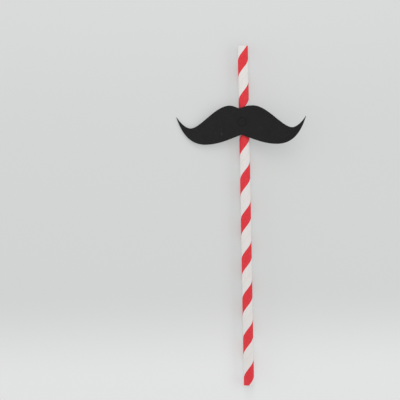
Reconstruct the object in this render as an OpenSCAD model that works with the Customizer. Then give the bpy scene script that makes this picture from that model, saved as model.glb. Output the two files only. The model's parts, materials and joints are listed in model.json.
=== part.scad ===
// Paper drinking straw for a party: a white spiral-wound tube with a red helical stripe,
// and a black die-cut card moustache glued across its front.
// The straw lies on a table along +Y, with the middle of its foot end at the origin.
// The card faces up, and the straw has rolled until the card's left tip meets the table.

/* [Straw] */
// Length of the tube from foot end to mouth end
straw_length = 210; // [150:1:240]
// Outside diameter of the tube
straw_diameter = 6.3; // [5:0.1:10]
// Thickness of the wound paper wall
wall = 0.4; // [0.25:0.05:0.8]

/* [Stripe] */
// Distance along the straw from one turn of the stripe to the next
stripe_pitch = 24.5; // [20:0.5:40]
// Width of the red band, measured along the straw
band_width = 10.5; // [4:0.5:14]
// Distance from the foot end to where the band first crosses the front
band_start = 5.3; // [0:0.1:20]
// Thickness of the printed band
ink = 0.04; // [0.02:0.01:0.08]

/* [Moustache] */
// Distance between the two wing tips
span = 80; // [70:1:100]
// Height from the bottom of the lobes to the top of the humps
height = 24; // [20:0.5:30]
// Thickness of the card
card = 0.5; // [0.3:0.05:1.5]
// Distance between the tops of the two humps
hump_span = 14.4; // [10:0.2:22]
// Depth of the nick between the humps
nick_depth = 1.7; // [0.4:0.1:4]
// Distance that the nick lies to the left of the card's middle
nick_shift = 1.3; // [0:0.1:3]
// Distance between the two hollows behind the tips
hollow_span = 62.8; // [54:0.2:66]
// Depth of the hollows below the top of the humps
hollow_depth = 13.8; // [11:0.1:15]
// Height of the wing tips above the hollows
tip_rise = 6.9; // [4:0.1:12]
// Width of the wing tips' rounded ends
tip_width = 0.3; // [0.1:0.05:1]
// Distance between the lowest points of the two lobes
lobe_span = 44.4; // [36:0.2:50]
// Height of the arch between the lobes
arch_height = 5.9; // [3:0.1:8]
// Distance from the mouth end down to the middle of the card's height
mouth_gap = 49; // [30:1:90]
// Distance that the card sits off the straw's axis, to the left
sideways = 1.8; // [0:0.1:6]
// Angle by which the card is glued askew, with its right tip towards the foot end
askew = 0.3; // [0:0.1:4]

/* [Glue] */
// Length of the glue dot along the straw
glue_length = 10; // [6:0.5:12]
// Width of the glue dot
glue_width = 3.6; // [2:0.1:4]
// Thickness of the glue over the crown of the straw
glue_crown = 0.4; // [0.25:0.05:1]

/* [Hidden] */

PAPER = "#f3f0ea";
RED = "#d33d48";
BLACK = "#232425";
GLUE = "#e9e6dc";

// Room between surfaces that only touch in the real straw
clearance = 0.01;
// How far the bore's cutter runs past each end of the tube
overrun = 1;
// Facets on the round walls
$fn = 96;

// The red band is a sector of a thin ring, twisted along the straw.
// Each slice turns it by about one step of its arc, so its facets stay small and even.
steps_per_turn = 18;
turns = straw_length / stripe_pitch;
band_angle = 360 * band_width / stripe_pitch;
band_steps = max(2, round(steps_per_turn * band_angle / 360));
widest_step = max(360 / steps_per_turn, band_angle / band_steps);
// The band's flat facets clear the round wall at the middle of each step
radius = straw_diameter / 2;
band_inner = (radius + clearance) / cos(widest_step / 2);
band_outer = band_inner + ink;
// In the band's own plane the front of the straw is at -90 degrees
band_middle = -90 - 360 * band_start / stripe_pitch;

// The glue fills the room between the printed tube and the card's back
glue_seat = band_outer + clearance;
card_back = radius + glue_crown;
card_middle = straw_length - mouth_gap;

// Heights on the card, from the middle of its height
hump_y = height / 2;
lobe_y = -height / 2;
nick_y = hump_y - nick_depth;
arch_y = lobe_y + arch_height;
hollow_y = hump_y - hollow_depth;

// The wing tip's round end, and the angle that the tip points at
tip_radius = tip_width / 2;
tip_middle = [span / 2 - tip_radius, hollow_y + tip_rise - tip_radius];
tip_angle = 65;

// The straw rolls to the left until the card's back edge meets the table at the wing tip
tip_reach = tip_middle.x * cos(askew) - tip_middle.y * sin(askew) + tip_radius + sideways;
roll = atan(card_back / tip_reach) + asin(radius / norm([tip_reach, card_back]));

// Half of the outline, from the nick between the humps out to the wing tip, and from there
// in to the arch. Each knot is a point, the angles at which the curve arrives and leaves,
// and how far it keeps to them before and after the point, as shares of the distance to
// the next knot.
function top_knots(nick_x) = [
    [[nick_x, nick_y], 15, 15, 0, 0.34],
    [[hump_span / 2, hump_y], 0, 0, 0.42, 0.32],
    [[hollow_span / 2, hollow_y], 0, 0, 0.22, 0.28],
    [tip_middle + tip_radius * way(tip_angle + 90), 62, 62, 0.26, 0]
];
bottom_knots = [
    [tip_middle + tip_radius * way(tip_angle - 90), 252, 252, 0, 0.39],
    [[lobe_span / 2, lobe_y], 180, 180, 0.41, 0.36],
    [[0, arch_y], 160, 160, 0.33, 0]
];
// Points on each curve between two knots, and on the wing tip's round end
curve_points = 16;
tip_points = 6;

function way(angle) = [cos(angle), sin(angle)];

// The point at share t of the cubic curve from a to d, pulled towards b and c
function cubic(a, b, c, d, t) =
    pow(1 - t, 3) * a + 3 * pow(1 - t, 2) * t * b + 3 * (1 - t) * t * t * c + pow(t, 3) * d;

// Points of the curve from one knot up to the next, without the last one
function curve(from, to) =
    let (
        a = from[0],
        d = to[0],
        reach = norm(d - a),
        b = a + way(from[2]) * from[4] * reach,
        c = d - way(to[1]) * to[3] * reach
    )
    [for (i = [0 : curve_points - 1]) cubic(a, b, c, d, i / curve_points)];

// Points of the curve through several knots, without the last one
function curves(knots) = [for (k = [0 : len(knots) - 2]) each curve(knots[k], knots[k + 1])];

function round_tip() = [
    for (i = [0 : tip_points - 1])
        tip_middle + tip_radius * way(tip_angle + 90 - 180 * i / tip_points)
];

function half_outline(nick_x) =
    concat(curves(top_knots(nick_x)), round_tip(), curves(bottom_knots), [[0, arch_y]]);

// The other side's half, run the other way, without its two ends, which the halves share
function other_half(half) = [for (i = [len(half) - 2 : -1 : 1]) [-half[i].x, half[i].y]];

// Points of the band's arc of radius r, from angle a to angle b
function arc(r, a, b) = [for (i = [0 : band_steps]) r * way(a + (b - a) * i / band_steps)];

// Lays the straw's axis along +Y, with the front facing up
module along_straw() {
    rotate([-90, 0, 0]) children();
}

// Rolls what faces straight up to how the straw comes to rest
module at_rest() {
    rotate([0, -roll, 0]) children();
}

module straw_tube() {
    color(PAPER)
    at_rest() along_straw()
    difference() {
        cylinder(h = straw_length, r = radius);
        translate([0, 0, -overrun])
        cylinder(h = straw_length + 2 * overrun, r = radius - wall);
    }
}

module red_stripe() {
    from = band_middle - band_angle / 2;
    to = band_middle + band_angle / 2;
    color(RED)
    at_rest() along_straw()
    linear_extrude(height = straw_length, twist = -360 * turns,
        slices = ceil(steps_per_turn * turns), segments = 0, convexity = 10)
    polygon(concat(arc(band_outer, from, to), arc(band_inner, to, from)));
}

module moustache() {
    right = half_outline(-nick_shift);
    left = other_half(half_outline(nick_shift));
    color(BLACK)
    at_rest()
    translate([-sideways, card_middle, card_back])
    rotate([0, 0, -askew])
    linear_extrude(height = card)
    polygon(concat(right, left));
}

module glue_dot() {
    middle = card_middle + (nick_y + arch_y) / 2;
    straight = glue_length - glue_width;
    color(GLUE)
    at_rest()
    difference() {
        translate([0, middle, 0])
        linear_extrude(height = card_back)
        union() {
            square([glue_width, straight], center = true);
            for (end = [-1, 1]) {
                translate([0, end * straight / 2]) circle(d = glue_width);
            }
        }
        along_straw() cylinder(h = straw_length, r = glue_seat);
    }
}

straw_tube();
red_stripe();
moustache();
glue_dot();
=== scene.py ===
"""A paper party straw with a card moustache, dressed around its CAD frame.

The straw lies along +Y with the middle of its foot end at the origin. Everything on it is
modelled with the card facing straight up, and is then rolled to the left as the straw rests.
"""

import json
import math

import bmesh
import bpy
from bpy.props import FloatProperty, FloatVectorProperty, IntProperty, PointerProperty
from mathutils import Matrix, Vector


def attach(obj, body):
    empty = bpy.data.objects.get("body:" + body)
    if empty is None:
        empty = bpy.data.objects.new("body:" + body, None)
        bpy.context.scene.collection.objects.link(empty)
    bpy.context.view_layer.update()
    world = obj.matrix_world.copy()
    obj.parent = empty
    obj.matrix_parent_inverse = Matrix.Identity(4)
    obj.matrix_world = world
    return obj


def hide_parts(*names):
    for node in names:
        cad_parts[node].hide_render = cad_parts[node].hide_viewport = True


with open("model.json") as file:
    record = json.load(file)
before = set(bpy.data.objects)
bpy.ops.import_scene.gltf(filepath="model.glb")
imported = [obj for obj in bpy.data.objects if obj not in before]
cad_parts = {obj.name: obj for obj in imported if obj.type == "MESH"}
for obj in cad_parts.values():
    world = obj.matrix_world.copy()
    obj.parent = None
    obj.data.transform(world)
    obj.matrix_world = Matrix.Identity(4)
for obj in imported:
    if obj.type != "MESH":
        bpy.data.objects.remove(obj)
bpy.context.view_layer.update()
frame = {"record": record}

bl_info = {
    "name": "Paper Party Straw",
    "version": (1, 0, 0),
    "blender": (4, 5, 0),
    "location": "3D View > Sidebar > Party Straw",
    "description": "Models a spiral-wound paper straw with a card moustache glued to it",
    "category": "Object",
}

MM = 0.001
TURN = 2 * math.pi
ALONG = Vector((0, 1, 0))
MIDDLE = Vector((0, 0, 0))

BORE = next(m for m in frame["record"]["mounts"] if m["name"] == "bore")["dims"]
STRIP_MAP = "strip_mm"
# Vertices this near each other are one, and this near a place are on it
SAME_POINT = 0.0005 * MM
NEAR = 0.002 * MM


def linear(code):
    """An sRGB hex colour as linear red, green and blue."""
    shares = [int(code[i : i + 2], 16) / 255 for i in (1, 3, 5)]
    return [s / 12.92 if s <= 0.04045 else ((s + 0.055) / 1.055) ** 2.4 for s in shares]


class StrawSizes(bpy.types.PropertyGroup):
    """The wound tube and the band printed on its outer strip."""

    length: FloatProperty(
        name="Length",
        description="Length of the tube from foot end to mouth end",
        default=BORE["length_mm"] * MM,
        unit="LENGTH",
    )
    diameter: FloatProperty(
        name="Diameter",
        description="Outside diameter of the tube",
        default=6.3 * MM,
        unit="LENGTH",
    )
    bore: FloatProperty(
        name="Bore",
        description="Inside diameter of the tube",
        default=2 * BORE["r_mm"] * MM,
        unit="LENGTH",
    )
    plies: IntProperty(
        name="Plies",
        description="Number of paper strips wound over each other",
        default=3,
        min=1,
        max=5,
    )
    pitch: FloatProperty(
        name="Pitch",
        description="Distance along the straw from one turn of the strip to the next",
        default=24.5 * MM,
        unit="LENGTH",
    )
    band_width: FloatProperty(
        name="Band Width",
        description="Width of the red band, measured along the straw",
        default=10.5 * MM,
        unit="LENGTH",
    )
    band_start: FloatProperty(
        name="Band Start",
        description="Distance from the foot end to where the band first crosses the front",
        default=5.3 * MM,
        unit="LENGTH",
    )
    seam_width: FloatProperty(
        name="Seam Width",
        description="Width of the nick where a strip's two edges meet on the tube's wall",
        default=0.17 * MM,
        unit="LENGTH",
    )
    seam_depth: FloatProperty(
        name="Seam Depth",
        description="Depth of that nick",
        default=0.04 * MM,
        unit="LENGTH",
    )
    paper: FloatVectorProperty(
        name="Paper",
        description="Colour of the white paper",
        subtype="COLOR",
        default=linear("#dddad8"),
    )
    ink: FloatVectorProperty(
        name="Ink",
        description="Colour of the printed band",
        subtype="COLOR",
        default=linear("#d9313a"),
    )


class MoustacheSizes(bpy.types.PropertyGroup):
    """The die-cut card, measured from the middle of its height."""

    span: FloatProperty(
        name="Span",
        description="Distance between the two wing tips",
        default=80 * MM,
        unit="LENGTH",
    )
    height: FloatProperty(
        name="Height",
        description="Height from the bottom of the lobes to the top of the humps",
        default=24 * MM,
        unit="LENGTH",
    )
    hump_span: FloatProperty(
        name="Hump Span",
        description="Distance between the tops of the two humps",
        default=14.4 * MM,
        unit="LENGTH",
    )
    nick_depth: FloatProperty(
        name="Nick Depth",
        description="Depth of the nick between the humps",
        default=1.7 * MM,
        unit="LENGTH",
    )
    nick_shift: FloatProperty(
        name="Nick Shift",
        description="Distance that the nick lies to the left of the card's middle",
        default=1.3 * MM,
        unit="LENGTH",
    )
    hollow_span: FloatProperty(
        name="Hollow Span",
        description="Distance between the two hollows behind the tips",
        default=62.8 * MM,
        unit="LENGTH",
    )
    hollow_depth: FloatProperty(
        name="Hollow Depth",
        description="Depth of the hollows below the top of the humps",
        default=13.8 * MM,
        unit="LENGTH",
    )
    tip_rise: FloatProperty(
        name="Tip Rise",
        description="Height of the wing tips above the hollows",
        default=6.9 * MM,
        unit="LENGTH",
    )
    tip_width: FloatProperty(
        name="Tip Width",
        description="Width of the wing tips' rounded ends",
        default=0.3 * MM,
        unit="LENGTH",
    )
    lobe_span: FloatProperty(
        name="Lobe Span",
        description="Distance between the lowest points of the two lobes",
        default=44.4 * MM,
        unit="LENGTH",
    )
    arch_height: FloatProperty(
        name="Arch Height",
        description="Height of the arch between the lobes",
        default=5.9 * MM,
        unit="LENGTH",
    )
    card: FloatProperty(
        name="Card",
        description="Thickness of the card",
        default=0.5 * MM,
        unit="LENGTH",
    )
    mouth_gap: FloatProperty(
        name="Mouth Gap",
        description="Distance from the mouth end down to the middle of the card",
        default=49 * MM,
        unit="LENGTH",
    )
    sideways: FloatProperty(
        name="Sideways",
        description="Distance that the card sits to the left of the straw's axis",
        default=1.8 * MM,
        unit="LENGTH",
    )
    askew: FloatProperty(
        name="Askew",
        description="Angle by which the card is glued askew, with its right tip towards the foot",
        default=math.radians(0.3),
        subtype="ANGLE",
    )
    worn_edge: FloatProperty(
        name="Worn Edge",
        description="Width of the slope that handling left along the cut edge",
        default=0.04 * MM,
        unit="LENGTH",
    )
    mark_size: FloatProperty(
        name="Press Mark",
        description="Diameter of the round dent where the card was pressed onto the glue",
        default=6.5 * MM,
        unit="LENGTH",
    )
    mark_depth: FloatProperty(
        name="Press Mark Depth",
        description="Depth of that dent",
        default=0.05 * MM,
        unit="LENGTH",
    )
    mark_place: FloatVectorProperty(
        name="Press Mark Place",
        description="Where its middle lies on the card, from the card's own middle",
        size=2,
        default=(0.5 * MM, 1.8 * MM),
        unit="LENGTH",
    )
    scuff_size: FloatVectorProperty(
        name="Scuff",
        description="Width and height of the small rubbed spot on the left wing",
        size=2,
        default=(1.3 * MM, 2.7 * MM),
        unit="LENGTH",
    )
    scuff_place: FloatVectorProperty(
        name="Scuff Place",
        description="Where its middle lies on the card, from the card's own middle",
        size=2,
        default=(-12.3 * MM, -5.5 * MM),
        unit="LENGTH",
    )
    colour: FloatVectorProperty(
        name="Colour",
        description="Colour of the dyed card",
        subtype="COLOR",
        default=linear("#1d1d1d"),
    )


class GlueSizes(bpy.types.PropertyGroup):
    """The dot of hot-melt glue between the tube and the card."""

    length: FloatProperty(
        name="Length",
        description="Length of the dot along the straw",
        default=10 * MM,
        unit="LENGTH",
    )
    width: FloatProperty(
        name="Width",
        description="Width of the dot across the straw",
        default=3.6 * MM,
        unit="LENGTH",
    )
    crown: FloatProperty(
        name="Crown",
        description="Thickness of the glue over the crown of the straw",
        default=0.4 * MM,
        unit="LENGTH",
    )
    colour: FloatVectorProperty(
        name="Colour",
        description="Colour of the glue",
        subtype="COLOR",
        default=linear("#e6e1d2"),
    )


class StageSettings(bpy.types.PropertyGroup):
    """The floor, the light and the camera."""

    floor: FloatVectorProperty(
        name="Floor",
        description="Colour of the floor beside the straw",
        subtype="COLOR",
        default=linear("#d2d4d3"),
    )
    # The near and far floor colours are painted light, which makes the floor lighter past the
    # straw's ends
    near_floor: FloatVectorProperty(
        name="Near Floor",
        description="Colour of the floor past the foot end",
        subtype="COLOR",
        default=linear("#e3e4e4"),
    )
    far_floor: FloatVectorProperty(
        name="Far Floor",
        description="Colour of the floor past the mouth end, and of what lies beyond it",
        subtype="COLOR",
        default=linear("#d5d6d6"),
    )
    width: FloatProperty(
        name="Picture Width",
        description="How much of the floor the picture's width takes in",
        default=247.4 * MM,
        unit="LENGTH",
    )
    middle: FloatVectorProperty(
        name="Picture Middle",
        description="Where the picture's middle lies, across the straw and along it",
        size=2,
        default=(-28.19 * MM, 114.6 * MM),
        unit="LENGTH",
    )
    distance: FloatProperty(
        name="Camera Distance",
        description="Distance from the camera to the straw",
        default=1.6,
        unit="LENGTH",
    )
    lean: FloatProperty(
        name="Lean",
        description="How far the straw leans to the left in the picture",
        default=math.radians(1.07),
        subtype="ANGLE",
    )


def sizes():
    """The four groups of settings."""
    scene = bpy.context.scene
    return scene.straw, scene.moustache, scene.straw_glue, scene.straw_stage


def tip_middle(moustache):
    """Middle of the right wing tip's round end, on the card."""
    rounding = moustache.tip_width / 2
    hollow = moustache.height / 2 - moustache.hollow_depth
    return Vector((moustache.span / 2 - rounding, hollow + moustache.tip_rise - rounding))


def at_rest():
    """Rolls the straw to the left until the card's back meets the floor at the wing tip."""
    straw, moustache, glue, _ = sizes()
    radius = straw.diameter / 2
    back = radius + glue.crown
    rounding = moustache.tip_width / 2
    tip = Matrix.Rotation(moustache.askew, 2) @ tip_middle(moustache)
    reach = tip.x + rounding + moustache.sideways
    roll = math.atan(back / reach) + math.asin(radius / math.hypot(reach, back))
    return Matrix.Rotation(-roll, 4, "Y")


def card_seat():
    """Takes the card from its own middle to its place on the straw, before the straw rolls."""
    straw, moustache, glue, _ = sizes()
    place = (
        -moustache.sideways,
        straw.length - moustache.mouth_gap,
        straw.diameter / 2 + glue.crown,
    )
    return Matrix.Translation(place) @ Matrix.Rotation(-moustache.askew, 4, "Z")


def finish_piece(bm, name, node, materials, sharp=20):
    """Rolls the mesh to rest and makes it the piece that stands for a CAD node.

    An edge between faces that meet at more than the sharp angle, in degrees, stays sharp.
    """
    bmesh.ops.remove_doubles(bm, verts=bm.verts, dist=SAME_POINT)
    bmesh.ops.recalc_face_normals(bm, faces=bm.faces)
    bmesh.ops.transform(bm, matrix=at_rest(), verts=bm.verts)
    for face in bm.faces:
        face.smooth = True
    for edge in bm.edges:
        edge.smooth = edge.calc_face_angle(0) < math.radians(sharp)
    mesh = bpy.data.meshes.new(name)
    bm.to_mesh(mesh)
    bm.free()
    for material in materials:
        mesh.materials.append(material)
    piece = bpy.data.objects.new(name, mesh)
    bpy.context.scene.collection.objects.link(piece)
    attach(piece, "root")
    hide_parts(node)
    return piece


# Materials

# Sockets of a Mix node that mixes colours, and of its result
SHARE, LOW, HIGH, MIXED = 0, 6, 7, 2

# Sizes of the patterns, in millimetres. Paper fibres are about 0.03 mm wide, which is too fine
# to show, so they are drawn ten times as wide.
FIBRE_LENGTH = 2.2
FIBRE_WIDTH = 0.3
# The cloudy flocks of pulp in the white paper
PULP_FLOCK = 1.8
# The fuzz that a blade leaves on cut paper
CUT_FUZZ = 0.17
# The card's faint clouds and its tooth
CARD_CLOUD = 8.0
CARD_TOOTH = 0.45
# The layers of pulp in the card's cut edge, drawn three times as thick as they are
LAYER_LENGTH = 1.7
LAYER_THICKNESS = 0.12
# The clouds in the set glue
GLUE_CLOUD = 1.1
# How far the grain of paper, card and ink stands up
GRAIN_HEIGHT = 0.03 * MM
# How far the clouds in the glue stand up
FLOW_HEIGHT = 0.1 * MM
# Directions in which the card's fibres lie, in radians
FIBRE_TURNS = (0.35, 1.35, 2.45)
# Where the seam's grey is full and where it ends, from its middle, as shares of its width
SEAM_FULL = 0.3
SEAM_ENDS = 0.95


def add(tree, kind, inputs=None, **settings):
    """Adds a node with its settings, and sets or links its inputs."""
    node = tree.nodes.new(kind)
    for name, value in settings.items():
        setattr(node, name, value)
    for socket, value in (inputs or {}).items():
        if isinstance(value, bpy.types.NodeSocket):
            tree.links.new(value, node.inputs[socket])
        else:
            node.inputs[socket].default_value = value
    return node


def new_material(name):
    """An empty node material and its surface output."""
    material = bpy.data.materials.new(name)
    material.use_nodes = True
    material.node_tree.nodes.clear()
    tree = material.node_tree
    return material, tree, tree.nodes.new("ShaderNodeOutputMaterial")


def rgba(colour, level=1.0):
    """A colour made lighter or darker, with its alpha."""
    return [channel * level for channel in colour] + [1.0]


def wound_grain(tree, straw):
    """Grain of the wound strip: its fibres, its cloudy pulp, and how near its edges are."""
    strip = add(tree, "ShaderNodeUVMap", uv_map=STRIP_MAP).outputs["UV"]
    combed = add(
        tree, "ShaderNodeMapping",
        {"Vector": strip, "Scale": (1 / FIBRE_LENGTH, 1 / FIBRE_WIDTH, 1.0)},
    ).outputs[0]
    fibres = add(
        tree, "ShaderNodeTexNoise",
        {"Vector": combed, "Scale": 1.0, "Detail": 5.0, "Roughness": 0.62, "Distortion": 0.7},
    ).outputs["Fac"]
    pulp = add(
        tree, "ShaderNodeTexNoise",
        {"Vector": strip, "Scale": 1 / PULP_FLOCK, "Detail": 3.0, "Roughness": 0.55},
    ).outputs["Fac"]
    across = add(tree, "ShaderNodeSeparateXYZ", {0: strip}).outputs["Y"]
    climb = math.atan2(straw.pitch, math.pi * straw.diameter)
    strip_width = math.pi * straw.diameter * math.sin(climb) / MM
    from_seam = add(
        tree, "ShaderNodeMath", {0: across, 1: strip_width / 2}, operation="PINGPONG"
    ).outputs[0]
    nick = straw.seam_width / MM
    seam = add(
        tree, "ShaderNodeMapRange",
        {"Value": from_seam, "From Min": SEAM_FULL * nick, "From Max": SEAM_ENDS * nick,
         "To Min": 1.0, "To Max": 0.0},
        interpolation_type="SMOOTHSTEP",
    ).outputs[0]
    return fibres, pulp, seam


def wound_paper(straw):
    """Uncoated white paper, wound with glue between the plies: matte, with a soft fibre grain
    that follows the winding, slightly cloudy, and grey where two strip edges meet."""
    material, tree, output = new_material("wound_uncoated_paper")
    fibres, pulp, seam = wound_grain(tree, straw)
    clouded = add(
        tree, "ShaderNodeMix",
        {SHARE: pulp, LOW: rgba(straw.paper, 0.955), HIGH: rgba(straw.paper, 1.03)},
        data_type="RGBA",
    ).outputs[MIXED]
    tint = add(
        tree, "ShaderNodeMix",
        {SHARE: fibres, LOW: rgba((0.955, 0.95, 0.94)), HIGH: rgba((1.03, 1.03, 1.03))},
        data_type="RGBA",
    ).outputs[MIXED]
    white = add(
        tree, "ShaderNodeMix", {SHARE: 1.0, LOW: clouded, HIGH: tint},
        data_type="RGBA", blend_type="MULTIPLY",
    ).outputs[MIXED]
    colour = add(
        tree, "ShaderNodeMix", {SHARE: seam, LOW: white, HIGH: rgba(straw.paper, 0.96)},
        data_type="RGBA",
    ).outputs[MIXED]
    height = add(tree, "ShaderNodeMath", {0: fibres, 1: pulp}, operation="ADD").outputs[0]
    bump = add(
        tree, "ShaderNodeBump", {"Height": height, "Strength": 0.35, "Distance": GRAIN_HEIGHT}
    ).outputs[0]
    roughness = add(
        tree, "ShaderNodeMapRange", {"Value": fibres, "To Min": 0.95, "To Max": 0.75}
    ).outputs[0]
    shader = add(
        tree, "ShaderNodeBsdfPrincipled",
        {"Base Color": colour, "Roughness": roughness, "IOR": 1.5,
         "Specular IOR Level": 0.3, "Normal": bump},
    )
    tree.links.new(shader.outputs[0], output.inputs[0])
    return material


def raw_cut(straw):
    """The plies' sawn-off ends: rougher and a little greyer than the face of the paper, with
    short fibres standing out of the cut."""
    material, tree, output = new_material("raw_cut_paper")
    place = add(tree, "ShaderNodeTexCoord").outputs["Object"]
    fuzz = add(
        tree, "ShaderNodeTexNoise",
        {"Vector": place, "Scale": 1 / (CUT_FUZZ * MM), "Detail": 3.0, "Roughness": 0.7},
    ).outputs["Fac"]
    colour = add(
        tree, "ShaderNodeMix",
        {SHARE: fuzz, LOW: rgba(straw.paper, 0.72), HIGH: rgba(straw.paper, 1.0)},
        data_type="RGBA",
    ).outputs[MIXED]
    bump = add(
        tree, "ShaderNodeBump", {"Height": fuzz, "Strength": 0.6, "Distance": GRAIN_HEIGHT}
    ).outputs[0]
    shader = add(
        tree, "ShaderNodeBsdfPrincipled",
        {"Base Color": colour, "Roughness": 0.95, "IOR": 1.5, "Specular IOR Level": 0.2,
         "Normal": bump},
    )
    tree.links.new(shader.outputs[0], output.inputs[0])
    return material


def printed_ink(straw):
    """Food-safe red ink printed on the strip: matte, mottled where the pulp took it up
    unevenly, and paler along the fibres that it didn't wet."""
    material, tree, output = new_material("matte_printed_ink")
    fibres, pulp, _ = wound_grain(tree, straw)
    mottled = add(
        tree, "ShaderNodeMix",
        {SHARE: pulp, LOW: rgba(straw.ink, 0.86), HIGH: rgba(straw.ink, 1.1)},
        data_type="RGBA",
    ).outputs[MIXED]
    bare = add(
        tree, "ShaderNodeMapRange",
        {"Value": fibres, "From Min": 0.56, "From Max": 0.78, "To Min": 0.0, "To Max": 0.16},
    ).outputs[0]
    colour = add(
        tree, "ShaderNodeMix", {SHARE: bare, LOW: mottled, HIGH: rgba(straw.paper)},
        data_type="RGBA",
    ).outputs[MIXED]
    height = add(tree, "ShaderNodeMath", {0: fibres, 1: pulp}, operation="ADD").outputs[0]
    bump = add(
        tree, "ShaderNodeBump", {"Height": height, "Strength": 0.3, "Distance": GRAIN_HEIGHT}
    ).outputs[0]
    roughness = add(
        tree, "ShaderNodeMapRange", {"Value": pulp, "To Min": 0.85, "To Max": 0.65}
    ).outputs[0]
    shader = add(
        tree, "ShaderNodeBsdfPrincipled",
        {"Base Color": colour, "Roughness": roughness, "IOR": 1.5,
         "Specular IOR Level": 0.3, "Normal": bump},
    )
    tree.links.new(shader.outputs[0], output.inputs[0])
    return material


def card_place(tree):
    """Millimetres on the card from the middle of its back, which lies in X and Y."""
    place = add(tree, "ShaderNodeTexCoord").outputs["Object"]
    back_home = (at_rest() @ card_seat()).inverted()
    flat = add(
        tree, "ShaderNodeMapping",
        {"Vector": place, "Location": back_home.translation / MM,
         "Rotation": back_home.to_euler(), "Scale": (1 / MM, 1 / MM, 1 / MM)},
    )
    return flat.outputs[0]


def from_spot(tree, place, middle, size, moustache):
    """How far out a place lies from a spot on the card's front: 0 at the spot's middle, 1 on
    its rim, and more than that on the card's back."""
    centre = (middle[0] / MM, middle[1] / MM, moustache.card / MM)
    reach = (size[0] / 2 / MM, size[1] / 2 / MM, moustache.card / 2 / MM)
    off = add(
        tree, "ShaderNodeMapping", {"Vector": place, "Location": centre, "Scale": reach},
        vector_type="TEXTURE",
    ).outputs[0]
    return add(tree, "ShaderNodeVectorMath", {0: off}, operation="LENGTH").outputs["Value"]


def press_mark_painted_shade(tree, place, moustache):
    """How light the press mark is: painted shade darkens the dent, where the card's tooth is also
    flattened, and a painted highlight lightens the rim that stays raised inside it."""
    size = (moustache.mark_size, moustache.mark_size)
    out = from_spot(tree, place, moustache.mark_place, size, moustache)
    shade = add(tree, "ShaderNodeValToRGB", {"Fac": out})
    ramp = shade.color_ramp
    ramp.interpolation = "EASE"
    ramp.elements[0].position, ramp.elements[0].color = 0.33, rgba((1, 1, 1), 0.93)
    ramp.elements[1].position, ramp.elements[1].color = 1.0, rgba((1, 1, 1), 1.0)
    for position, level in ((0.47, 1.25), (0.62, 0.73), (0.93, 0.73)):
        ramp.elements.new(position).color = rgba((1, 1, 1), level)
    return shade.outputs["Color"]


def scuffed_share(tree, place, tooth, moustache):
    """Where the card's face was rubbed: a short streak, ragged because only the tooth's tops
    lost their dye."""
    out = from_spot(tree, place, moustache.scuff_place, moustache.scuff_size, moustache)
    ragged = add(
        tree, "ShaderNodeMath", {0: tooth, 1: 1.6, 2: out}, operation="MULTIPLY_ADD"
    ).outputs[0]
    share = add(
        tree, "ShaderNodeMapRange",
        {"Value": ragged, "From Min": 1.3, "From Max": 1.9, "To Min": 0.9, "To Max": 0.0},
        interpolation_type="SMOOTHSTEP",
    )
    return share.outputs[0]


def undyed_fibres(tree, place):
    """Single fibres that took up less dye, which lie three ways across the card."""
    share = 0.0
    for turn in FIBRE_TURNS:
        combed = add(
            tree, "ShaderNodeMapping", {"Vector": place, "Rotation": (0.0, 0.0, turn)}
        ).outputs[0]
        stretched = add(
            tree, "ShaderNodeMapping",
            {"Vector": combed, "Location": (7.3 * turn, 3.1 * turn, 0.0),
             "Scale": (1 / FIBRE_LENGTH, 1 / FIBRE_WIDTH, 1.0)},
        ).outputs[0]
        lie = add(
            tree, "ShaderNodeTexNoise",
            {"Vector": stretched, "Scale": 1.0, "Detail": 2.0, "Distortion": 1.2},
        ).outputs["Fac"]
        thin = add(
            tree, "ShaderNodeMapRange", {"Value": lie, "From Min": 0.62, "From Max": 0.74}
        ).outputs[0]
        share = add(
            tree, "ShaderNodeMath", {0: share, 1: thin}, operation="MAXIMUM"
        ).outputs[0]
    return share


def dyed_face(tree, place, tooth, moustache):
    """Colour of the card's dyed face: faintly clouded, with painted shading that makes it lighter
    towards the left wing and darker towards the right, its press mark and its scuff."""
    clouds = add(
        tree, "ShaderNodeTexNoise",
        {"Vector": place, "Scale": 1 / CARD_CLOUD, "Detail": 4.0, "Roughness": 0.6},
    ).outputs["Fac"]
    clouded = add(
        tree, "ShaderNodeMix",
        {SHARE: clouds, LOW: rgba(moustache.colour, 0.8), HIGH: rgba(moustache.colour, 1.25)},
        data_type="RGBA",
    ).outputs[MIXED]
    # Painted shading: the face is painted lighter towards the left wing and darker towards the
    # right
    across = add(tree, "ShaderNodeSeparateXYZ", {0: place}).outputs["X"]
    wing = moustache.span / 2 / MM
    painted_side_light = add(
        tree, "ShaderNodeMapRange",
        {"Value": across, "From Min": -wing, "From Max": wing, "To Min": 1.1, "To Max": 0.92},
    ).outputs[0]
    side_light_painted = add(
        tree, "ShaderNodeVectorMath", {0: clouded, "Scale": painted_side_light}, operation="SCALE"
    ).outputs[0]
    # The press mark's painted shade in the dent and painted highlight on its raised rim
    pressed = add(
        tree, "ShaderNodeMix",
        {SHARE: 1.0, LOW: side_light_painted, HIGH: press_mark_painted_shade(tree, place, moustache)},
        data_type="RGBA", blend_type="MULTIPLY",
    ).outputs[MIXED]
    rubbed = scuffed_share(tree, place, tooth, moustache)
    return add(
        tree, "ShaderNodeMix",
        {SHARE: rubbed, LOW: pressed, HIGH: rgba(moustache.colour, 2.1)},
        data_type="RGBA",
    ).outputs[MIXED]


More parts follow.
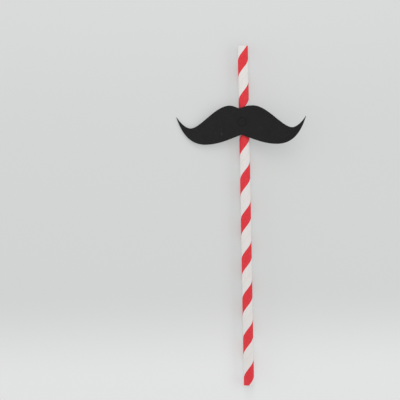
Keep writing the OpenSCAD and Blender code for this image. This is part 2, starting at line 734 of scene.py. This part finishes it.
def dyed_card(moustache):
    """Black card dyed through the pulp: matte, with a fine tooth, faint clouds, and single
    fibres that took up less dye."""
    material, tree, output = new_material("dyed_matte_card")
    place = card_place(tree)
    tooth = add(
        tree, "ShaderNodeTexNoise",
        {"Vector": place, "Scale": 1 / CARD_TOOTH, "Detail": 4.0, "Roughness": 0.65},
    ).outputs["Fac"]
    face = dyed_face(tree, place, tooth, moustache)
    fibres = undyed_fibres(tree, place)
    paler = add(tree, "ShaderNodeMath", {0: fibres, 1: 0.5}, operation="MULTIPLY").outputs[0]
    colour = add(
        tree, "ShaderNodeMix",
        {SHARE: paler, LOW: face, HIGH: rgba(moustache.colour, 3.0)},
        data_type="RGBA",
    ).outputs[MIXED]
    height = add(tree, "ShaderNodeMath", {0: tooth, 1: fibres}, operation="ADD").outputs[0]
    bump = add(
        tree, "ShaderNodeBump", {"Height": height, "Strength": 0.4, "Distance": GRAIN_HEIGHT}
    ).outputs[0]
    roughness = add(
        tree, "ShaderNodeMapRange", {"Value": tooth, "To Min": 0.95, "To Max": 0.72}
    ).outputs[0]
    shader = add(
        tree, "ShaderNodeBsdfPrincipled",
        {"Base Color": colour, "Roughness": roughness, "IOR": 1.5,
         "Specular IOR Level": 0.15, "Normal": bump},
    )
    tree.links.new(shader.outputs[0], output.inputs[0])
    return material


def card_cut(moustache):
    """The card's die-cut edge: rough, with the layers of pulp showing as fine lines along it,
    and slightly paler than the faces."""
    material, tree, output = new_material("die_cut_card_edge")
    place = card_place(tree)
    layered = add(
        tree, "ShaderNodeMapping",
        {"Vector": place, "Scale": (1 / LAYER_LENGTH, 1 / LAYER_LENGTH, 1 / LAYER_THICKNESS)},
    ).outputs[0]
    layers = add(
        tree, "ShaderNodeTexNoise",
        {"Vector": layered, "Scale": 1.0, "Detail": 3.0, "Roughness": 0.6},
    ).outputs["Fac"]
    colour = add(
        tree, "ShaderNodeMix",
        {SHARE: layers, LOW: rgba(moustache.colour, 0.9), HIGH: rgba(moustache.colour, 2.6)},
        data_type="RGBA",
    ).outputs[MIXED]
    bump = add(
        tree, "ShaderNodeBump", {"Height": layers, "Strength": 0.6, "Distance": GRAIN_HEIGHT}
    ).outputs[0]
    shader = add(
        tree, "ShaderNodeBsdfPrincipled",
        {"Base Color": colour, "Roughness": 0.95, "IOR": 1.5, "Specular IOR Level": 0.15,
         "Normal": bump},
    )
    tree.links.new(shader.outputs[0], output.inputs[0])
    return material


def hot_melt(glue):
    """Hot-melt glue, set: milky and slightly see-into, with a satin skin and faint flow
    clouds."""
    material, tree, output = new_material("set_hot_melt_glue")
    place = add(tree, "ShaderNodeTexCoord").outputs["Object"]
    flow = add(
        tree, "ShaderNodeTexNoise",
        {"Vector": place, "Scale": 1 / (GLUE_CLOUD * MM), "Detail": 2.0, "Distortion": 0.8},
    ).outputs["Fac"]
    colour = add(
        tree, "ShaderNodeMix",
        {SHARE: flow, LOW: rgba(glue.colour, 0.86), HIGH: rgba(glue.colour, 1.05)},
        data_type="RGBA",
    ).outputs[MIXED]
    bump = add(
        tree, "ShaderNodeBump", {"Height": flow, "Strength": 0.3, "Distance": FLOW_HEIGHT}
    ).outputs[0]
    shader = add(
        tree, "ShaderNodeBsdfPrincipled",
        {"Base Color": colour, "Roughness": 0.35, "IOR": 1.48, "Subsurface Weight": 0.5,
         "Subsurface Radius": (1.0, 0.9, 0.7), "Subsurface Scale": 0.6 * MM,
         "Normal": bump},
    )
    tree.links.new(shader.outputs[0], output.inputs[0])
    return material


# The wound tube and its printed band

# Facets round the tube. The band's edges fall on two of them: 30 of 70 is 10.5 of 24.5 mm.
RING = 70
# Turn of the strip from one row of facets to the next, in degrees
ROW_TURN = 6
# Slope left by the blade on both rims of the cut ends, wider than the seam is deep
RIM = 0.05 * MM
# Thickness of the ink that stands out of the paper, drawn thicker than the real 0.002 mm
INK = 0.012 * MM
# The nick between two plies at the cut ends: half its width, and its depth
PLY_NICK = 0.018 * MM
PLY_DEPTH = 0.05 * MM
# A face of the tube is cut paper if its normal leans along the straw by more than this share
CUT_LEAN = 0.3


def band_edge(straw):
    """Angle at the foot end from the front to the band's left edge, in radians."""
    return -TURN * (straw.band_start + straw.band_width / 2) / straw.pitch


def bearing(point):
    """Angle round the straw, from its front towards its right."""
    return math.atan2(point.x, point.z)


def from_axis(point):
    """Distance from the straw's axis."""
    return math.hypot(point.x, point.z)


def cut_ring(bm, radii, start, sweep, steps):
    """A flat ring of faces across the foot end, spun from a line that runs outwards."""
    outwards = Vector((math.sin(start), 0, math.cos(start)))
    line = [bm.verts.new(outwards * radius) for radius in radii]
    edges = [bm.edges.new(pair) for pair in zip(line, line[1:])]
    bmesh.ops.spin(
        bm,
        geom=line + edges,
        cent=MIDDLE,
        axis=ALONG,
        angle=sweep,
        steps=steps,
        use_merge=math.isclose(sweep, TURN),
    )


def open_seam(bm, straw, radius, turn, depth):
    """Opens the nick where a strip's edges meet, on the wall of this radius at this bearing.

    The vertex there is sunk by the depth, and its two neighbours close up to it.
    """
    step = TURN / RING
    nick = math.asin(straw.seam_width / 2 / radius)
    for vert in bm.verts:
        if abs(from_axis(vert.co) - radius) > RIM / 2:
            continue
        off = math.remainder(bearing(vert.co) - turn, TURN)
        if abs(off) < step / 2:
            vert.co *= 1 - depth / radius
        elif abs(off) < step * 1.5:
            back = math.copysign(nick, off) - off
            vert.co = Matrix.Rotation(back, 3, ALONG) @ vert.co


def wind(bm, straw):
    """Carries the flat ring up the straw and turns it as the strip was wound."""
    turns = straw.length / straw.pitch
    rows = round(turns * 360 / ROW_TURN)
    bmesh.ops.spin(
        bm,
        geom=bm.verts[:] + bm.edges[:] + bm.faces[:],
        cent=MIDDLE,
        axis=ALONG,
        dvec=ALONG * straw.length / rows,
        angle=turns * TURN,
        steps=rows,
    )
    bmesh.ops.triangulate(bm, faces=bm.faces, quad_method="SHORT_EDGE")


def press_ends(bm, straw, radii, depth):
    """Moves what lies at these radii of the two cut ends into the straw."""
    for place, way in ((0, 1), (straw.length, -1)):
        found = [
            v
            for v in bm.verts
            if abs(v.co.y - place) < NEAR
            and any(abs(from_axis(v.co) - r) < NEAR for r in radii)
        ]
        bmesh.ops.translate(bm, verts=found, vec=ALONG * depth * way)


def map_strip(bm, straw, seam):
    """Unrolls the strips into a UV map in millimetres, u along them and v across them.

    The inner wall's strip starts half a turn away from the outer wall's.
    """
    layer = bm.loops.layers.uv.new(STRIP_MAP)
    radius = straw.diameter / 2
    middle = (straw.diameter + straw.bore) / 4
    climb = math.atan2(straw.pitch, TURN * radius)
    for face in bm.faces:
        centre = face.calc_center_median()
        edge = seam if from_axis(centre) > middle else seam + TURN / 2
        wound = TURN * centre.y / straw.pitch
        across = (bearing(centre) - wound - edge) % TURN
        for loop in face.loops:
            point = loop.vert.co
            wound = TURN * point.y / straw.pitch
            phase = bearing(point) - wound - edge
            phase = across + math.remainder(phase - across, TURN)
            around = radius * (phase + wound)
            along = around * math.cos(climb) + point.y * math.sin(climb)
            loop[layer].uv = (along / MM, radius * phase * math.sin(climb) / MM)


class STRAW_OT_wind_tube(bpy.types.Operator):
    """Wind the tube from strips of paper, with the seam and the cut plies"""

    bl_idname = "straw.wind_tube"
    bl_label = "Wind Paper Tube"

    def execute(self, context):
        straw = context.scene.straw
        inner, outer = straw.bore / 2, straw.diameter / 2
        ply = (outer - inner) / straw.plies
        joints = [inner + ply * i for i in range(1, straw.plies)]
        radii = [inner, inner + RIM]
        for joint in joints:
            radii += [joint - PLY_NICK, joint, joint + PLY_NICK]
        radii += [outer - RIM, outer]

        bm = bmesh.new()
        start = band_edge(straw)
        cut_ring(bm, radii, start, TURN, RING)
        # The outer seam lies opposite the band's middle, and the inner one half a turn away
        seam = start + TURN * (straw.band_width / straw.pitch + 1) / 2
        open_seam(bm, straw, outer, seam, straw.seam_depth)
        open_seam(bm, straw, inner, seam + TURN / 2, -straw.seam_depth)
        wind(bm, straw)
        press_ends(bm, straw, joints, PLY_DEPTH)
        press_ends(bm, straw, [inner, outer], RIM)
        map_strip(bm, straw, seam)
        for face in bm.faces:
            face.material_index = int(abs(face.normal.y) > CUT_LEAN)
        finish_piece(
            bm, "paper_tube", "straw_tube", [wound_paper(straw), raw_cut(straw)]
        )
        return {"FINISHED"}


class STRAW_OT_print_band(bpy.types.Operator):
    """Print the red band along the outer strip"""

    bl_idname = "straw.print_band"
    bl_label = "Print Red Band"

    def execute(self, context):
        straw = context.scene.straw
        outer = straw.diameter / 2
        share = straw.band_width / straw.pitch
        start = band_edge(straw)
        bm = bmesh.new()
        radii = [outer - INK, outer + INK]
        cut_ring(bm, radii, start, TURN * share, round(RING * share))
        wind(bm, straw)
        press_ends(bm, straw, radii, RIM)
        map_strip(bm, straw, start + TURN * (share + 1) / 2)
        finish_piece(bm, "printed_band", "red_stripe", [printed_ink(straw)])
        return {"FINISHED"}


# The moustache

# Angle that the right wing tip points at, in degrees
TIP_ANGLE = 65
# Pull of the handles that round a half circle, as a share of its width
HALF_ROUND = 2 / 3
# Points on each stretch of the outline between two knots
STRETCH_POINTS = 28
# A face of the card lies flat if its normal has more than this share across the card
FLAT_SHARE = 0.9
# Sides of the round press mark
MARK_SIDES = 48
# Rings of the press mark from its rim inwards: width as a share of its radius, and rise as
# a share of its depth. The first one keeps the flat card round it flat.
MARK_RINGS = ((0.03, 0), (0.12, -1), (0.24, 0), (0.08, 0.8), (0.05, 0), (0.1, -0.4))


def pulled(point, angle, distance):
    """The point at a distance from another, in the direction of an angle in degrees."""
    return point + Matrix.Rotation(math.radians(angle), 2) @ Vector((distance, 0))


def outline_knots(moustache, nick):
    """The right half of the outline, from the nick between the humps round to the arch.

    Each knot is a point, the angles in degrees at which the curve arrives and leaves, and how
    far it keeps to them before and after, as shares of the distance to the next knot.
    """
    hump = moustache.height / 2
    lobe = -moustache.height / 2
    tip = tip_middle(moustache)
    rounding = moustache.tip_width / 2
    return [
        (Vector((nick, hump - moustache.nick_depth)), 15, 15, 0, 0.34),
        (Vector((moustache.hump_span / 2, hump)), 0, 0, 0.42, 0.32),
        (Vector((moustache.hollow_span / 2, hump - moustache.hollow_depth)), 0, 0, 0.22, 0.28),
        (pulled(tip, TIP_ANGLE + 90, rounding), 62, TIP_ANGLE, 0.26, HALF_ROUND),
        (pulled(tip, TIP_ANGLE - 90, rounding), TIP_ANGLE + 180, 252, HALF_ROUND, 0.39),
        (Vector((moustache.lobe_span / 2, lobe)), 180, 180, 0.41, 0.36),
        (Vector((0, lobe + moustache.arch_height)), 160, 160, 0.33, 0),
    ]


def half_outline(moustache, nick):
    """Each knot of the right half with its two handles."""
    knots = outline_knots(moustache, nick)
    places = [knot[0] for knot in knots]
    half = []
    for i, (place, arrives, leaves, before, after) in enumerate(knots):
        back = (place - places[max(i - 1, 0)]).length
        ahead = (places[min(i + 1, len(knots) - 1)] - place).length
        handle_in = pulled(place, arrives, -before * back)
        handle_out = pulled(place, leaves, after * ahead)
        half.append((place, handle_in, handle_out))
    return half


def mirrored(point):
    """The same point on the other half."""
    return Vector((-point.x, point.y))


def draw_outline(curve, moustache):
    """Draws the moustache's outline as one closed Bezier spline."""
    right = half_outline(moustache, -moustache.nick_shift)
    left = [
        (mirrored(place), mirrored(after), mirrored(before))
        for place, before, after in reversed(half_outline(moustache, moustache.nick_shift))
    ]
    nick = (right[0][0], left[-1][1], right[0][2])
    arch = (right[-1][0], right[-1][1], left[0][2])
    knots = [nick] + right[1:-1] + [arch] + left[1:-1]
    spline = curve.splines.new("BEZIER")
    spline.use_cyclic_u = True
    spline.bezier_points.add(len(knots) - 1)
    for point, (place, before, after) in zip(spline.bezier_points, knots):
        point.handle_left_type = point.handle_right_type = "FREE"
        point.co = place.to_3d()
        point.handle_left = before.to_3d()
        point.handle_right = after.to_3d()


def draw_hole(curve, disc):
    """Draws a hole along the rim of a disc."""
    spline = curve.splines.new("POLY")
    spline.use_cyclic_u = True
    rim = disc.verts[:]
    spline.points.add(len(rim) - 1)
    for point, vert in zip(spline.points, rim):
        point.co = (*vert.co, 1)


def flat_card(moustache):
    """A bmesh of the flat card, in which the press mark is one round face."""
    bm = bmesh.new()
    bmesh.ops.create_circle(
        bm, cap_ends=True, radius=moustache.mark_size / 2, segments=MARK_SIDES
    )
    bmesh.ops.translate(bm, verts=bm.verts, vec=(*moustache.mark_place, 0))
    curve = bpy.data.curves.new("card_outline", "CURVE")
    curve.dimensions = "2D"
    curve.fill_mode = "BOTH"
    curve.resolution_u = STRETCH_POINTS
    draw_outline(curve, moustache)
    draw_hole(curve, bm)
    drawing = bpy.data.objects.new("card_outline", curve)
    bm.from_mesh(drawing.to_mesh())
    drawing.to_mesh_clear()
    bpy.data.objects.remove(drawing)
    bpy.data.curves.remove(curve)
    bmesh.ops.remove_doubles(bm, verts=bm.verts, dist=NEAR)
    return bm


def press_mark(bm, moustache):
    """Dents the round face on the card's front, with a rim that stayed up inside it."""
    disc = max((f for f in bm.faces if len(f.verts) == MARK_SIDES), key=lambda f: f.normal.z)
    radius = moustache.mark_size / 2
    for share, depth in MARK_RINGS:
        bmesh.ops.inset_region(
            bm,
            faces=[disc],
            thickness=radius * share,
            depth=moustache.mark_depth * depth,
            use_even_offset=True,
        )


class STRAW_OT_cut_moustache(bpy.types.Operator):
    """Cut the moustache out of card, with its worn edges and its press mark"""

    bl_idname = "straw.cut_moustache"
    bl_label = "Cut Card Moustache"

    def execute(self, context):
        moustache = context.scene.moustache
        bm = flat_card(moustache)
        body = moustache.card - 2 * moustache.worn_edge
        lifted = bmesh.ops.extrude_face_region(bm, geom=bm.faces[:])
        verts = [g for g in lifted["geom"] if isinstance(g, bmesh.types.BMVert)]
        bmesh.ops.translate(bm, verts=verts, vec=(0, 0, body))
        bmesh.ops.recalc_face_normals(bm, faces=bm.faces)
        for side in (1, -1):
            flats = [f for f in bm.faces if f.normal.z * side > FLAT_SHARE]
            bmesh.ops.inset_region(
                bm,
                faces=flats,
                thickness=moustache.worn_edge,
                depth=moustache.worn_edge,
                use_boundary=True,
            )
        press_mark(bm, moustache)
        for face in bm.faces:
            face.material_index = int(abs(face.normal.z) < FLAT_SHARE)
        bmesh.ops.translate(bm, verts=bm.verts, vec=(0, 0, moustache.worn_edge))
        bmesh.ops.transform(bm, matrix=card_seat(), verts=bm.verts)
        finish_piece(
            bm, "card_moustache", "moustache",
            [dyed_card(moustache), card_cut(moustache)],
        )
        return {"FINISHED"}


# The glue

# Thickness of the dot before the card flattened its top and the tube its underside
BEAD = 1.7 * MM
# How far below the card the dot is widest
BULGE = 0.32 * MM
# Sides round the dot, and rings from its top to its underside
BEAD_SIDES = 64
BEAD_RINGS = 40


class STRAW_OT_squash_glue(bpy.types.Operator):
    """Squash a dot of hot-melt glue between the tube and the card"""

    bl_idname = "straw.squash_glue"
    bl_label = "Squash Glue Dot"

    def execute(self, context):
        straw, moustache, glue, _ = sizes()
        radius = straw.diameter / 2
        back = radius + glue.crown
        nick = moustache.height / 2 - moustache.nick_depth
        arch = moustache.arch_height - moustache.height / 2
        middle = Vector((0, straw.length - moustache.mouth_gap + (nick + arch) / 2, back))
        bm = bmesh.new()
        bmesh.ops.create_uvsphere(
            bm, u_segments=BEAD_SIDES, v_segments=BEAD_RINGS, radius=1
        )
        bmesh.ops.scale(
            bm, verts=bm.verts, vec=(glue.width / 2, glue.length / 2, BEAD / 2)
        )
        bmesh.ops.translate(bm, verts=bm.verts, vec=middle - Vector((0, 0, BULGE)))
        for vert in bm.verts:
            vert.co.z = min(vert.co.z, back)
            out = from_axis(vert.co)
            if out < radius + INK:
                vert.co.x *= (radius + INK) / out
                vert.co.z *= (radius + INK) / out
        finish_piece(bm, "glue_squeeze", "glue_dot", [hot_melt(glue)], sharp=60)
        return {"FINISHED"}


# The stage

# Radius of the round floor, in metres
FLOOR_RADIUS = 4
# Where the floor's painted light starts to make it paler along the straw and where it is full,
# towards both ends
TOWARDS_MOUTH = (150 * MM, 240 * MM)
TOWARDS_FOOT = (62 * MM, 5 * MM)
# Share of the floor's colour that the camera sees unlit, which softens the shadows on it
UNLIT_SHARE = 0.5
# Strength of the even light from all round
ROOM_LIGHT = 0.6
# Each softbox's name, its place to the right, up and back from the picture's middle, its
# width and height in metres, and its power in watts
SOFTBOXES = (
    ("overhead_softbox", (0, 0.5, 1.5), (1.4, 1.4), 3.8),
    ("left_softbox", (-1.2, 0, 0.5), (1.4, 0.5), 5.1),
    ("right_softbox", (1.2, 0, 0.5), (1.4, 0.5), 5.1),
    ("mouth_softbox", (0, 0.45, 0.35), (0.3, 0.3), 0.68),
)


def light(name, place, target, size, power):
    """A softbox that faces the target."""
    lamp = bpy.data.lights.new(name, "AREA")
    lamp.shape = "RECTANGLE"
    lamp.size, lamp.size_y = size
    lamp.energy = power
    box = bpy.data.objects.new(name, lamp)
    box.location = place
    box.rotation_euler = (target - place).to_track_quat("-Z", "Y").to_euler()
    bpy.context.scene.collection.objects.link(box)


def floor_paper(stage):
    """Pale backdrop paper: a matte grey with painted light that makes it lighter past both ends
    of the straw, and that keeps a soft share of the shadows."""
    material, tree, output = new_material("matte_backdrop_paper")
    place = add(tree, "ShaderNodeTexCoord").outputs["Object"]
    along = add(tree, "ShaderNodeSeparateXYZ", {0: place}).outputs["Y"]
    colour = rgba(stage.floor)
    # Painted light: the floor's colour turns paler past both ends of the straw
    for paler, (start, end) in (
        (stage.far_floor, TOWARDS_MOUTH),
        (stage.near_floor, TOWARDS_FOOT),
    ):
        share = add(
            tree, "ShaderNodeMapRange", {"Value": along, "From Min": start, "From Max": end},
            interpolation_type="SMOOTHSTEP",
        ).outputs[0]
        colour = add(
            tree, "ShaderNodeMix", {SHARE: share, LOW: colour, HIGH: rgba(paler)},
            data_type="RGBA",
        ).outputs[MIXED]
    paper = add(
        tree, "ShaderNodeBsdfPrincipled",
        {"Base Color": colour, "Roughness": 0.95, "Specular IOR Level": 0.1},
    ).outputs[0]
    glow = add(tree, "ShaderNodeEmission", {"Color": colour, "Strength": 1.0}).outputs[0]
    seen = add(tree, "ShaderNodeLightPath").outputs["Is Camera Ray"]
    share = add(
        tree, "ShaderNodeMath", {0: seen, 1: UNLIT_SHARE}, operation="MULTIPLY"
    ).outputs[0]
    mixed = add(tree, "ShaderNodeMixShader", {0: share, 1: paper, 2: glow})
    tree.links.new(mixed.outputs[0], output.inputs[0])
    return material


def light_world(stage):
    """Even light from all round, seen by the camera as the far floor's own colour."""
    world = bpy.data.worlds.new("studio")
    bpy.context.scene.world = world
    world.use_nodes = True
    tree = world.node_tree
    tree.nodes.clear()
    seen = add(tree, "ShaderNodeLightPath").outputs["Is Camera Ray"]
    room = add(
        tree, "ShaderNodeBackground", {"Color": rgba((1, 1, 1)), "Strength": ROOM_LIGHT}
    ).outputs[0]
    beyond = add(
        tree, "ShaderNodeBackground", {"Color": rgba(stage.far_floor), "Strength": 1.0}
    ).outputs[0]
    mixed = add(tree, "ShaderNodeMixShader", {0: seen, 1: room, 2: beyond})
    output = add(tree, "ShaderNodeOutputWorld")
    tree.links.new(mixed.outputs[0], output.inputs[0])


class STRAW_OT_set_stage(bpy.types.Operator):
    """Lay the pale floor, light it softly and place the camera square to the card"""

    bl_idname = "straw.set_stage"
    bl_label = "Set Stage"

    def execute(self, context):
        straw, _, _, stage = sizes()
        bm = bmesh.new()
        bmesh.ops.create_circle(bm, cap_ends=True, radius=FLOOR_RADIUS, segments=96)
        # The floor lies just below the ink, so that the two don't cut into each other
        bmesh.ops.translate(bm, verts=bm.verts, vec=(0, 0, -straw.diameter / 2 - 2 * INK))
        mesh = bpy.data.meshes.new("floor")
        bm.to_mesh(mesh)
        bm.free()
        mesh.materials.append(floor_paper(stage))
        floor = bpy.data.objects.new("floor", mesh)
        context.scene.collection.objects.link(floor)
        light_world(stage)

        turn = at_rest() @ Matrix.Rotation(-stage.lean, 4, "Z")
        across, along = stage.middle
        centre = Vector((0, along, 0)) + turn @ Vector((across, 0, 0))
        facing = Matrix.Translation(centre) @ turn
        for name, place, size, power in SOFTBOXES:
            light(name, facing @ Vector(place), centre, size, power)

        lens = bpy.data.cameras.new("camera")
        lens.sensor_width = 36
        lens.lens = lens.sensor_width * stage.distance / stage.width
        lens.clip_start = 0.01
        camera = bpy.data.objects.new("camera", lens)
        camera.matrix_world = facing @ Matrix.Translation((0, 0, stage.distance))
        context.scene.collection.objects.link(camera)
        context.scene.camera = camera
        context.scene.view_settings.view_transform = "Standard"
        return {"FINISHED"}


# The sidebar


class STRAW_PT_sidebar(bpy.types.Panel):
    """The straw's pieces and their settings"""

    bl_label = "Party Straw"
    bl_space_type = "VIEW_3D"
    bl_region_type = "UI"
    bl_category = "Party Straw"

    def draw(self, context):
        scene = context.scene
        parts = (
            (scene.straw, ("straw.wind_tube", "straw.print_band")),
            (scene.moustache, ("straw.cut_moustache",)),
            (scene.straw_glue, ("straw.squash_glue",)),
            (scene.straw_stage, ("straw.set_stage",)),
        )
        for settings, steps in parts:
            box = self.layout.box()
            for name in settings.__annotations__:
                box.prop(settings, name)
            for step in steps:
                box.operator(step)


GROUPS = {
    "straw": StrawSizes,
    "moustache": MoustacheSizes,
    "straw_glue": GlueSizes,
    "straw_stage": StageSettings,
}
TOOLS = (
    STRAW_OT_wind_tube,
    STRAW_OT_print_band,
    STRAW_OT_cut_moustache,
    STRAW_OT_squash_glue,
    STRAW_OT_set_stage,
    STRAW_PT_sidebar,
)


def register():
    for name, group in GROUPS.items():
        bpy.utils.register_class(group)
        setattr(bpy.types.Scene, name, PointerProperty(type=group))
    for tool in TOOLS:
        bpy.utils.register_class(tool)


def unregister():
    for tool in reversed(TOOLS):
        bpy.utils.unregister_class(tool)
    for name, group in GROUPS.items():
        delattr(bpy.types.Scene, name)
        bpy.utils.unregister_class(group)


def main():
    register()
    bpy.ops.straw.wind_tube()
    bpy.ops.straw.print_band()
    bpy.ops.straw.cut_moustache()
    bpy.ops.straw.squash_glue()
    bpy.ops.straw.set_stage()


if __name__ == "__main__":
    main()
